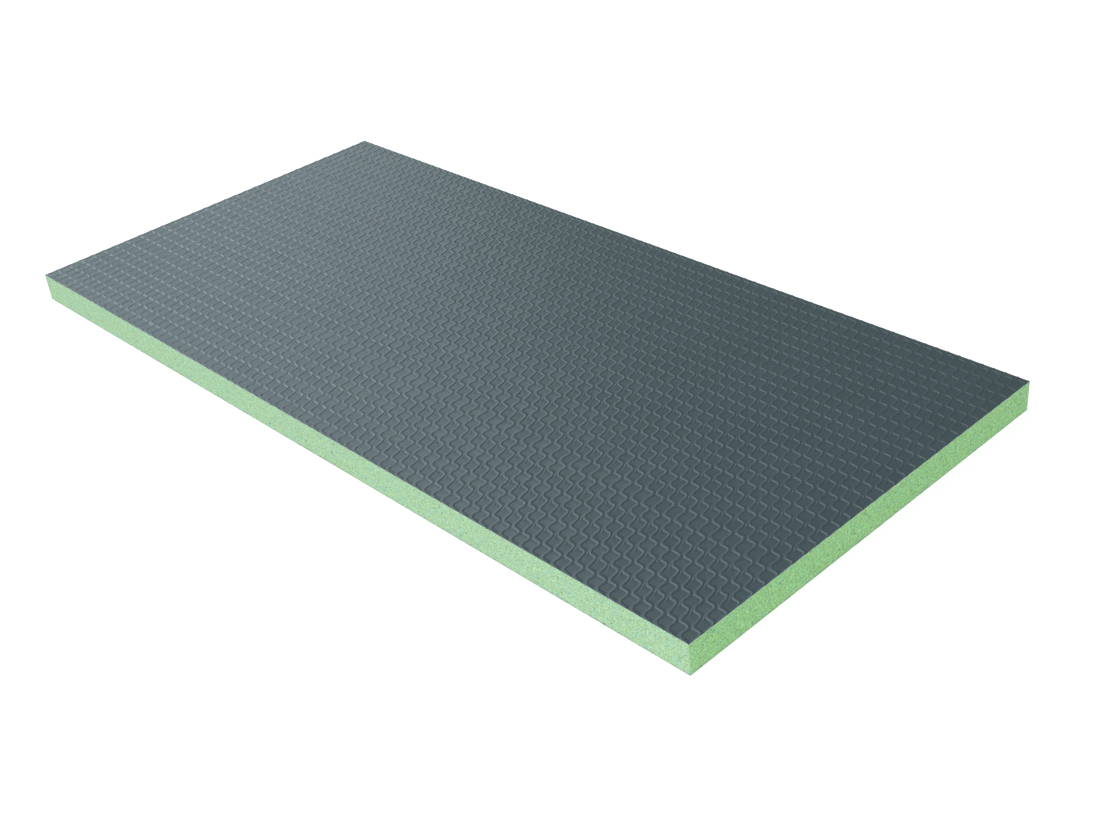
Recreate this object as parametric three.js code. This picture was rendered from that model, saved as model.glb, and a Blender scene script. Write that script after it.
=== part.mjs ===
// Foam tile backer board: a stiff green foam core with a thin grey mortar coat bonded to each face.
// Sizes are in millimetres. The board lies flat: +X runs along it, +Y across it and +Z up, and the origin
// is the centre of its underside.
import * as THREE from "three";

// Driving dimensions
const boardLength = 1250;
const boardWidth = 600;
const boardThickness = 40;
const coatThickness = 0.8;

// The foam takes what the two coats leave of the thickness.
const coreThickness = boardThickness - 2 * coatThickness;

// Colours of the foam and the mortar, with their roughness
const foamFinish = { color: 0x9fd49a, roughness: 0.85, metalness: 0 };
const mortarFinish = { color: 0x55666b, roughness: 0.7, metalness: 0 };

// One layer of the board: a flat slab with square-cut edges, flush with the layers above and below it.
// Its underside lies at the height given.
function layer(name, thickness, underside, finish) {
  const slab = new THREE.Mesh(
    new THREE.BoxGeometry(boardLength, boardWidth, thickness),
    new THREE.MeshStandardMaterial(finish),
  );
  slab.name = name;
  slab.position.z = underside + thickness / 2;
  return slab;
}

const board = new THREE.Group();
board.add(
  layer("bottom_coating", coatThickness, 0, mortarFinish),
  layer("foam_core", coreThickness, coatThickness, foamFinish),
  layer("top_coating", coatThickness, coatThickness + coreThickness, mortarFinish),
);

export default board;
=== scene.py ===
import math

import bmesh
import bpy
import numpy as np
from mathutils import Matrix, Vector, noise
from mathutils.geometry import delaunay_2d_cdt


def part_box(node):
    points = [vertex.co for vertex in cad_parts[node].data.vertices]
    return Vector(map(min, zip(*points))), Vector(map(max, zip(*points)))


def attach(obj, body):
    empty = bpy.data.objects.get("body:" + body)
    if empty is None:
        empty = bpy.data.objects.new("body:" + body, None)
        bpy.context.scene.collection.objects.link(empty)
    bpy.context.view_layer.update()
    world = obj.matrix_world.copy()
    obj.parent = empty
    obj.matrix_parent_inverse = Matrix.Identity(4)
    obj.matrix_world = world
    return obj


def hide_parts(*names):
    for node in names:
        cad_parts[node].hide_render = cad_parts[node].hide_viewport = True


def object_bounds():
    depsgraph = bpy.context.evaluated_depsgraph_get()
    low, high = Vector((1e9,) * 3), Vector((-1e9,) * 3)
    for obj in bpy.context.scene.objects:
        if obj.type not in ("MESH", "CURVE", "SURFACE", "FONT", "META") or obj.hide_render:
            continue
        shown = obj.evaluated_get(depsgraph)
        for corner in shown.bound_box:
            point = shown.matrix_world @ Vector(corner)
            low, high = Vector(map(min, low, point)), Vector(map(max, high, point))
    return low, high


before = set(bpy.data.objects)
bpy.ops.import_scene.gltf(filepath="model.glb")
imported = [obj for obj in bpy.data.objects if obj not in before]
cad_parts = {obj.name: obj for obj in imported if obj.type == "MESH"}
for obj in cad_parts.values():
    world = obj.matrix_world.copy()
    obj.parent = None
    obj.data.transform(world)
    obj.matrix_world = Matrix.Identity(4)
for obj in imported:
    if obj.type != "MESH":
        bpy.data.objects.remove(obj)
cad_low, cad_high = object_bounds()

# The board's box and layers come from the parts in model.glb, in metres. Relief and grain sizes below are in
# millimetres.
MM = 0.001
LENGTH = (cad_high.x - cad_low.x) / MM
WIDTH = (cad_high.y - cad_low.y) / MM
THICKNESS = (cad_high.z - cad_low.z) / MM
FOAM_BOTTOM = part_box("foam_core")[0].z / MM
FOAM_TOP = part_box("foam_core")[1].z / MM
SEED = 41


# Camera

CAMERA_PLACE = (1.3744, -1.1039, 1.0105)
CAMERA_AIM = (0.2291, -0.0972, 0.0400)
CAMERA_ROLL = math.radians(-5.637)
CAMERA_LENS = 50.0
SENSOR_WIDTH = 36.0


def add_camera():
    data = bpy.data.cameras.new("camera")
    data.lens = CAMERA_LENS
    data.sensor_width = SENSOR_WIDTH
    camera = bpy.data.objects.new("camera", data)
    bpy.context.scene.collection.objects.link(camera)
    place = Vector(CAMERA_PLACE)
    aim = (Vector(CAMERA_AIM) - place).to_track_quat("-Z", "Y").to_matrix().to_4x4()
    camera.matrix_world = Matrix.Translation(place) @ aim @ Matrix.Rotation(CAMERA_ROLL, 4, "Z")
    bpy.context.scene.camera = camera


# Weave of the mesh under the mortar. Distances run along from the left end and across from the rear edge.

WARP_PITCH = 15.79
WEFT_PITCH = 19.42
WIDE_PITCH = 24.4
WEFTS_PER_REPEAT = 15
FIRST_WEFT = 5.6
FIRST_WIDE_ROW = 7
RELIEF = 0.56
FLANK = 1.9

# Half-height line of the hollow right of a warp and below a weft, clockwise from its top left corner. A point
# is along and across from their crossing, then the crest's height there as a share of the relief. A crest is
# low where a channel between two threads leads to the next hollow. A warp is bound round every second weft.
HOLLOW_BELOW_BOUND = (
    (7.2, 1.5, 1.0), (13.6, 1.9, 1.0), (15.6, 3.0, 0.95), (16.5, 6.0, 0.85), (17.1, 10.5, 0.8),
    (17.1, 15.4, 0.75), (16.2, 17.2, 0.2), (13.8, 17.3, 0.7), (6.6, 17.4, 0.8), (5.2, 15.6, 0.95),
    (4.4, 11.6, 1.0), (3.6, 7.6, 1.0), (3.0, 5.2, 0.9), (3.2, 3.4, 0.3), (4.7, 2.8, 0.8), (6.2, 2.4, 0.3),
)
HOLLOW_BELOW_PLAIN = (
    (6.4, 1.7, 1.0), (14.0, 1.9, 1.0), (15.9, 3.2, 0.95), (16.9, 5.8, 0.9), (17.2, 8.4, 0.85),
    (16.4, 13.2, 0.5), (16.6, 15.4, 0.45), (15.8, 17.0, 0.25), (13.6, 17.25, 0.75), (7.0, 17.1, 0.8),
    (5.6, 16.8, 1.0), (4.2, 14.6, 1.0), (3.5, 12.6, 1.0), (4.2, 9.2, 0.85), (4.95, 5.6, 0.75),
    (4.9, 2.6, 0.2),
)

# Corner of the hollow below a bound weft where a thread comes down into it, and the foot's height there
THREAD_CORNER = 14
THREAD_FOOT = 0.6

# More points in a hollow and at its far crossing, as along, across and height: the thread that comes down
# into the hollow below a bound weft, with its feet, and the channel out of each hollow's far corner
BELOW_BOUND = (
    (5.4, 4.6, 0.5), (6.6, 7.2, 0.3), (7.6, 9.2, 0.1), (4.6, 6.6, 0.0), (6.0, 9.4, 0.0),
    (6.9, 4.6, 0.0), (7.8, 6.8, 0.0), (18.6, 19.2, 0.2), (20.0, 18.1, 0.95), (17.2, 20.5, 0.95),
)
BELOW_PLAIN = ((17.6, 20.0, 0.25), (19.6, 19.8, 0.65))

# How far hollows differ from each other: a corner's place in mm, and a height as a share of the relief
CORNER_SPREAD = 0.05
CREST_SPREAD = 0.05
FLOOR_SPREAD = 0.04


def weft_lines():
    """Distance of each weft from the rear edge, with True where the warp binds it."""
    lines = []
    across = FIRST_WEFT - WEFT_PITCH
    bound = False
    row = -1
    while across < WIDTH + 2 * WEFT_PITCH:
        lines.append((across, bound))
        wide = row % WEFTS_PER_REPEAT == FIRST_WIDE_ROW
        across += WIDE_PITCH if wide else WEFT_PITCH
        bound = bound if wide else not bound
        row += 1
    return lines


def offset_ring(ring, distance):
    """Moves the points of closed clockwise outlines outwards, across the line between their neighbours."""
    chord = np.roll(ring, -1, -2) - np.roll(ring, 1, -2)
    outward = np.stack([chord[..., 1], -chord[..., 0]], -1)
    return ring + outward / np.linalg.norm(outward, axis=-1, keepdims=True) * distance


def relief_outlines(rng):
    """Points of the relief's feet, crests, threads and channels, and the edges round each foot and crest.

    A point is along, across and height, from 0 in a hollow to 1 on a thread. The rows reach a little past the
    board's edges.
    """
    warps = np.arange(-2, math.ceil(LENGTH / WARP_PITCH) + 1) * WARP_PITCH
    wefts = weft_lines()
    points = []
    edges = []
    count = 0
    for (across, bound), (following, _) in zip(wefts[:-1], wefts[1:]):
        scale = (1, (following - across) / WEFT_PITCH)
        corners = np.array(HOLLOW_BELOW_BOUND if bound else HOLLOW_BELOW_PLAIN)
        more = np.array(BELOW_BOUND if bound else BELOW_PLAIN)
        outline = corners[:, :2] * scale + rng.normal(0, CORNER_SPREAD, (len(warps), len(corners), 2))
        floor = np.abs(rng.normal(0, FLOOR_SPREAD, outline.shape[:2]))
        if bound:
            floor[:, THREAD_CORNER] = THREAD_FOOT
        crest = np.minimum(corners[:, 2] * (1 + rng.normal(0, CREST_SPREAD, (len(warps), 1))), 1)
        lines = [
            (offset_ring(outline, -FLANK / 2), floor, True),
            (offset_ring(outline, FLANK / 2), crest, True),
            (np.tile(more[:, :2] * scale, (len(warps), 1, 1)), np.tile(more[:, 2], (len(warps), 1)), False),
        ]
        for place, height, closed in lines:
            placed = place + np.stack([warps, np.full(len(warps), across)], -1)[:, None, :]
            points.append(np.concatenate([placed, height[..., None]], -1).reshape(-1, 3))
            index = count + np.arange(height.size).reshape(height.shape)
            count += height.size
            if closed:
                edges.append(np.stack([index, np.roll(index, -1, 1)], -1).reshape(-1, 2))
    return np.concatenate(points), np.concatenate(edges)


# Coats: the relief points are joined to triangles, cut off at the board's edges and closed behind

MERGE = 0.05
COAT_SHARP = math.radians(8)


def relief_sheet(face, outward, rng):
    """The outer surface of a coat, a little wider than the board, with its crests at height face."""
    points, edges = relief_outlines(rng)
    plan = (points[:, :2] * (1, -1) + (-LENGTH / 2, WIDTH / 2)) * MM
    places, _, triangles, origins, _, _ = delaunay_2d_cdt(plan.tolist(), edges.tolist(), [], 0, MERGE * MM)
    height = np.array([points[origin[0], 2] if origin else 1 for origin in origins])
    levels = (face - outward * RELIEF * (1 - height)) * MM
    sheet = bmesh.new()
    vertices = [sheet.verts.new((*place, level)) for place, level in zip(places, levels)]
    for triangle in triangles:
        sheet.faces.new([vertices[i] for i in triangle])
    return sheet


def trim_to_board(sheet):
    for axis, half in ((Vector((1, 0, 0)), LENGTH / 2), (Vector((0, 1, 0)), WIDTH / 2)):
        for side in (1, -1):
            outward = axis * side
            edge = outward * half * MM
            parts = sheet.verts[:] + sheet.edges[:] + sheet.faces[:]
            bmesh.ops.bisect_plane(sheet, geom=parts, plane_co=edge, plane_no=outward, clear_outer=True)
    bmesh.ops.remove_doubles(sheet, verts=sheet.verts, dist=MERGE * MM)


def close_behind(sheet, back):
    """Adds the coat's cut edges and the flat face that is bonded to the foam."""
    rim = [edge for edge in sheet.edges if edge.is_boundary]
    walls = bmesh.ops.extrude_edge_only(sheet, edges=rim)["geom"]
    for part in walls:
        if isinstance(part, bmesh.types.BMVert):
            part.co.z = back * MM
    hem = [part for part in walls if isinstance(part, bmesh.types.BMEdge) and part.is_boundary]
    bmesh.ops.edgeloop_fill(sheet, edges=hem)
    bmesh.ops.recalc_face_normals(sheet, faces=sheet.faces)


def coat_skin(name, node, face, back, outward, material, seed):
    sheet = relief_sheet(face, outward, np.random.default_rng(seed))
    trim_to_board(sheet)
    close_behind(sheet, back)
    mesh = bpy.data.meshes.new(name)
    sheet.to_mesh(mesh)
    sheet.free()
    mesh.polygons.foreach_set("use_smooth", np.ones(len(mesh.polygons), bool))
    mesh.set_sharp_from_angle(angle=COAT_SHARP)
    mesh.materials.append(material)
    skin = bpy.data.objects.new(name, mesh)
    bpy.context.scene.collection.objects.link(skin)
    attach(skin, "root")
    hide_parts(node)


# Foam: a slab whose four sides are torn a little by the saw

SIDE_STEP = 1.35
TEAR_DEPTH = 0.16
TEAR_SIZE = 1.9
TEAR_BEND = 1.6
BEND_SIZE = 9.0
WAVE_DEPTH = 0.05
WAVE_SIZE = 16.0
PIT_DEPTH = 1.2
PIT_SIZE = 3.0
PIT_LEVEL = 0.32
PIT_SHIFT = Vector((7, 5, 3))
DEEPEST = 0.7
FOAM_SHARP = math.radians(50)


def tear_depth(place):
    """How far in a sawn side is torn at a place, in mm, from 0 to DEEPEST."""
    bend = noise.noise_vector(place / BEND_SIZE) * TEAR_BEND
    tear = noise.noise((place + bend) / TEAR_SIZE)
    wave = noise.noise(place / WAVE_SIZE)
    pit = max(0.0, noise.noise((place + bend) / PIT_SIZE + PIT_SHIFT) - PIT_LEVEL)
    depth = TEAR_DEPTH * (1 + tear) + WAVE_DEPTH * (1 + wave) + PIT_DEPTH * pit
    return min(max(depth, 0.0), DEEPEST)


def side_ring():
    """Places round the slab in plan, with the inward direction at each."""
    signs = ((1, -1), (1, 1), (-1, 1), (-1, -1))
    corners = [Vector((x * LENGTH / 2, y * WIDTH / 2)) for x, y in signs]
    inward = [Vector((-1, 0)), Vector((0, -1)), Vector((1, 0)), Vector((0, 1))]
    ring = []
    for side, corner in enumerate(corners):
        run = corners[(side + 1) % len(corners)] - corner
        steps = round(run.length / SIDE_STEP)
        ring.append((corner, inward[side - 1] + inward[side]))
        ring += [(corner + run * step / steps, inward[side]) for step in range(1, steps)]
    return ring


def foam_slab(material):
    noise.seed_set(SEED)
    ring = side_ring()
    levels = np.linspace(FOAM_BOTTOM, FOAM_TOP, round((FOAM_TOP - FOAM_BOTTOM) / SIDE_STEP) + 1)
    points = []
    tears = []
    for level in levels:
        for place, inward in ring:
            depth = tear_depth(Vector((*place, level)))
            points.append(((place.x + inward.x * depth) * MM, (place.y + inward.y * depth) * MM, level * MM))
            tears.append(depth / DEEPEST)
    index = np.arange(len(points)).reshape(len(levels), len(ring))
    ahead = np.roll(index, -1, 1)
    sides = np.stack([index[:-1], ahead[:-1], ahead[1:], index[1:]], -1).reshape(-1, 4)
    ends = [index[0, ::-1].tolist(), index[-1].tolist()]
    mesh = bpy.data.meshes.new("foam_slab")
    mesh.from_pydata(points, [], sides.tolist() + ends)
    smooth = np.ones(len(sides) + len(ends), bool)
    smooth[len(sides):] = False
    mesh.polygons.foreach_set("use_smooth", smooth)
    # The tear depth is kept for the foam's painted shade in the pits
    mesh.attributes.new("tear", "FLOAT", "POINT").data.foreach_set("value", np.array(tears))
    mesh.set_sharp_from_angle(angle=FOAM_SHARP)
    mesh.materials.append(material)
    slab = bpy.data.objects.new("foam_slab", mesh)
    bpy.context.scene.collection.objects.link(slab)
    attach(slab, "root")
    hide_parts("foam_core")


# Materials

# Parts of a noise's range that patches and grain use, so that both reach their full contrast
PATCH_RANGE = (0.35, 0.65)
GRAIN_RANGE = (0.3, 0.7)


class Shading:
    """A material's node tree, with short calls for the nodes that both materials use."""

    def __init__(self, name):
        self.material = bpy.data.materials.new(name)
        self.material.use_nodes = True
        self.tree = self.material.node_tree
        self.shader = self.tree.nodes["Principled BSDF"]
        self.place = self.node("ShaderNodeTexCoord").outputs["Object"]

    def node(self, kind, **values):
        node = self.tree.nodes.new(kind)
        for name, value in values.items():
            setattr(node, name, value)
        return node

    def join(self, source, target):
        self.tree.links.new(source, target)

    def noise(self, size, detail=2.0, distortion=0.0):
        """Noise whose features are about size mm across, from 0 to 1 with its middle at 0.5."""
        node = self.node("ShaderNodeTexNoise")
        self.join(self.place, node.inputs["Vector"])
        node.inputs["Scale"].default_value = 1 / (size * MM)
        node.inputs["Detail"].default_value = detail
        node.inputs["Distortion"].default_value = distortion
        return node.outputs["Fac"]

    def spread(self, source, limits, values=(0.0, 1.0)):
        """Turns the source's range between two limits into a range of values, held at both ends."""
        node = self.node("ShaderNodeMapRange")
        self.join(source, node.inputs["Value"])
        node.inputs["From Min"].default_value = limits[0]
        node.inputs["From Max"].default_value = limits[1]
        node.inputs["To Min"].default_value = values[0]
        node.inputs["To Max"].default_value = values[1]
        return node.outputs["Result"]

    def blend(self, share, first, second):
        """Mix of two colours, each a colour value or another node's output."""
        node = self.node("ShaderNodeMix", data_type="RGBA")
        self.join(share, node.inputs[0])
        for socket, colour in ((node.inputs[6], first), (node.inputs[7], second)):
            if isinstance(colour, tuple):
                socket.default_value = (*colour, 1)
            else:
                self.join(colour, socket)
        return node.outputs[2]

    def patches(self, size, first, second):
        return self.blend(self.spread(self.noise(size), PATCH_RANGE), first, second)

    def tint(self, colour, by):
        node = self.node("ShaderNodeMix", data_type="RGBA", blend_type="MULTIPLY")
        node.inputs[0].default_value = 1
        self.join(colour, node.inputs[6])
        self.join(by, node.inputs[7])
        return node.outputs[2]

    def scale(self, colour, by):
        node = self.node("ShaderNodeVectorMath", operation="SCALE")
        self.join(colour, node.inputs[0])
        self.join(by, node.inputs["Scale"])
        return node.outputs[0]

    def shade(self, colour, grain, shades):
        """The colour made darker and lighter by a noise."""
        return self.scale(colour, self.spread(grain, GRAIN_RANGE, shades))

    def facing(self, axis):
        """How squarely the surface faces along an axis, either way, from 0 to 1."""
        split = self.node("ShaderNodeSeparateXYZ")
        self.join(self.node("ShaderNodeNewGeometry").outputs["True Normal"], split.inputs["Vector"])
        size = self.node("ShaderNodeMath", operation="ABSOLUTE")
        self.join(split.outputs[axis], size.inputs[0])
        return size.outputs[0]

    def bump(self, height, depth):
        node = self.node("ShaderNodeBump")
        node.inputs["Distance"].default_value = depth * MM
        self.join(height, node.inputs["Height"])
        return node.outputs["Normal"]

    def finish(self, colour, normal, roughness, specular):
        self.join(colour, self.shader.inputs["Base Color"])
        self.join(normal, self.shader.inputs["Normal"])
        self.shader.inputs["Roughness"].default_value = roughness
        self.shader.inputs["Specular IOR Level"].default_value = specular
        return self.material


# Mortar: smooth, with faint patches and a fine sandy grain, and pale with dust where the saw went through it
MORTAR = (0.049, 0.088, 0.098)
MORTAR_PALE = (0.055, 0.096, 0.106)
MORTAR_CUT = (0.42, 0.60, 0.44)
MORTAR_PATCH_SIZE = 60.0
MORTAR_GRAIN_SIZE = 1.2
MORTAR_SHADES = (0.94, 1.06)
SAND_SIZE = 0.8
SAND_DEPTH = 0.015
MORTAR_ROUGHNESS = 0.36
MORTAR_SPECULAR = 0.67

# How squarely a surface faces up or down where it turns from a sawn edge into a face
EDGE_TO_FACE = (0.1, 0.3)


def mortar_material():
    m = Shading("slate_mortar")
    patches = m.patches(MORTAR_PATCH_SIZE, MORTAR, MORTAR_PALE)
    face = m.shade(patches, m.noise(MORTAR_GRAIN_SIZE), MORTAR_SHADES)
    colour = m.blend(m.spread(m.facing("Z"), EDGE_TO_FACE), MORTAR_CUT, face)
    normal = m.bump(m.noise(SAND_SIZE, detail=3.0), SAND_DEPTH)
    return m.finish(colour, normal, MORTAR_ROUGHNESS, MORTAR_SPECULAR)


# Foam: sawn closed cells in a grainy green, yellower and bluer in patches, with painted shade in the pits.
# The long sides are painted paler than the ends, a painted sheen that stands in for light reflected off them.
# The first colour is the long sides' colour with a painted sheen, paler than the ends; the second is the
# foam's colour on the ends
FOAM_LONG_SIDE_PAINTED_SHEEN = (0.430, 0.645, 0.402)
FOAM_END = (0.322, 0.597, 0.264)
FOAM_YELLOWER = (1.05, 1.00, 0.88)
FOAM_BLUER = (0.94, 1.00, 1.08)
FOAM_PATCH_SIZE = 7.0
FOAM_GRAIN_SIZE = 1.5
FOAM_SHADES = (0.60, 1.40)
CELL_SIZE = 1.3
CELL_DEPTH = 0.25
FOAM_ROUGHNESS = 0.75
FOAM_SPECULAR = 0.2

# How squarely a side faces the front or the rear where the ends turn into the long sides with their painted
# sheen
END_TO_PAINTED_SHEEN_SIDE = (0.4, 0.6)

# Painted shade in the pits: depth of a tear, as a share of the deepest, where the painted shade starts and
# ends, and the shades there
PIT_RANGE = (0.45, 0.85)
PIT_PAINTED_SHADES = (1.0, 0.60)


def foam_material():
    m = Shading("sawn_green_foam")
    # Painted sheen: the long sides get a paler colour than the ends
    side = m.blend(m.spread(m.facing("Y"), END_TO_PAINTED_SHEEN_SIDE), FOAM_END, FOAM_LONG_SIDE_PAINTED_SHEEN)
    tinted = m.tint(side, m.patches(FOAM_PATCH_SIZE, FOAM_YELLOWER, FOAM_BLUER))
    grain = m.shade(tinted, m.noise(FOAM_GRAIN_SIZE, detail=3.0, distortion=0.8), FOAM_SHADES)
    # Painted shade: the colour is darker where the side is torn deeper, in the pits
    tear = m.node("ShaderNodeAttribute", attribute_name="tear").outputs["Fac"]
    colour = m.scale(grain, m.spread(tear, PIT_RANGE, PIT_PAINTED_SHADES))
    normal = m.bump(m.noise(CELL_SIZE), CELL_DEPTH)
    return m.finish(colour, normal, FOAM_ROUGHNESS, FOAM_SPECULAR)


# Studio

ROOM_GLOW = 0.283
FLOOR_SIZE = 40
FLOOR_SHADE = 0.35
FLOOR_GLOW = 0.87
FLOOR_ROUGHNESS = 0.9
LIGHT_DISTANCE = 5.0
LIGHT_SIZE = 1.7
DAYLIGHT = (0.88, 1.0, 1.06)
WHITE = (1, 1, 1, 1)

# Softboxes, all aimed at the board: bearing from +X and height above the floor in degrees, and power in watts
SOFTBOXES = {
    "left": (175, 32, 44.1),
    "rear_left": (150, 32, 10.8),
    "rear_left_low": (150, 10, 9.3),
    "rear_left_high": (150, 60, 23.8),
    "overhead": (200, 60, 63.8),
    "front_low": (280, 10, 40.5),
    "right_low": (330, 10, 52.0),
}


def add_world():
    world = bpy.data.worlds.new("studio")
    world.use_nodes = True
    background = world.node_tree.nodes["Background"]
    background.inputs["Color"].default_value = WHITE
    background.inputs["Strength"].default_value = ROOM_GLOW
    bpy.context.scene.world = world


def add_floor():
    bpy.ops.mesh.primitive_plane_add(size=FLOOR_SIZE, location=(0, 0, 0))
    floor = bpy.context.object
    floor.name = "floor"
    material = bpy.data.materials.new("pale_floor")
    material.use_nodes = True
    shader = material.node_tree.nodes["Principled BSDF"]
    shader.inputs["Base Color"].default_value = (FLOOR_SHADE, FLOOR_SHADE, FLOOR_SHADE, 1)
    shader.inputs["Roughness"].default_value = FLOOR_ROUGHNESS
    shader.inputs["Specular IOR Level"].default_value = 0.0
    shader.inputs["Emission Color"].default_value = WHITE
    shader.inputs["Emission Strength"].default_value = FLOOR_GLOW
    floor.data.materials.append(material)


def add_softbox(name, bearing, height, power):
    data = bpy.data.lights.new(name, "AREA")
    data.shape = "SQUARE"
    data.size = LIGHT_SIZE
    data.energy = power
    data.color = DAYLIGHT
    light = bpy.data.objects.new(name, data)
    bpy.context.scene.collection.objects.link(light)
    turn = Matrix.Rotation(math.radians(bearing), 3, "Z") @ Matrix.Rotation(math.radians(-height), 3, "Y")
    light.location = turn @ Vector((LIGHT_DISTANCE, 0, 0))
    light.rotation_mode = "QUATERNION"
    light.rotation_quaternion = (-light.location).to_track_quat("-Z", "Y")


def add_studio():
    bpy.context.scene.view_settings.view_transform = "Standard"
    add_world()
    add_floor()
    for name, (bearing, height, power) in SOFTBOXES.items():
        add_softbox(name, bearing, height, power)


add_camera()
add_studio()
mortar = mortar_material()
coat_skin("top_skin", "top_coating", THICKNESS, FOAM_TOP, 1, mortar, SEED)
coat_skin("bottom_skin", "bottom_coating", 0.0, FOAM_BOTTOM, -1, mortar, SEED + 1)
foam_slab(foam_material())
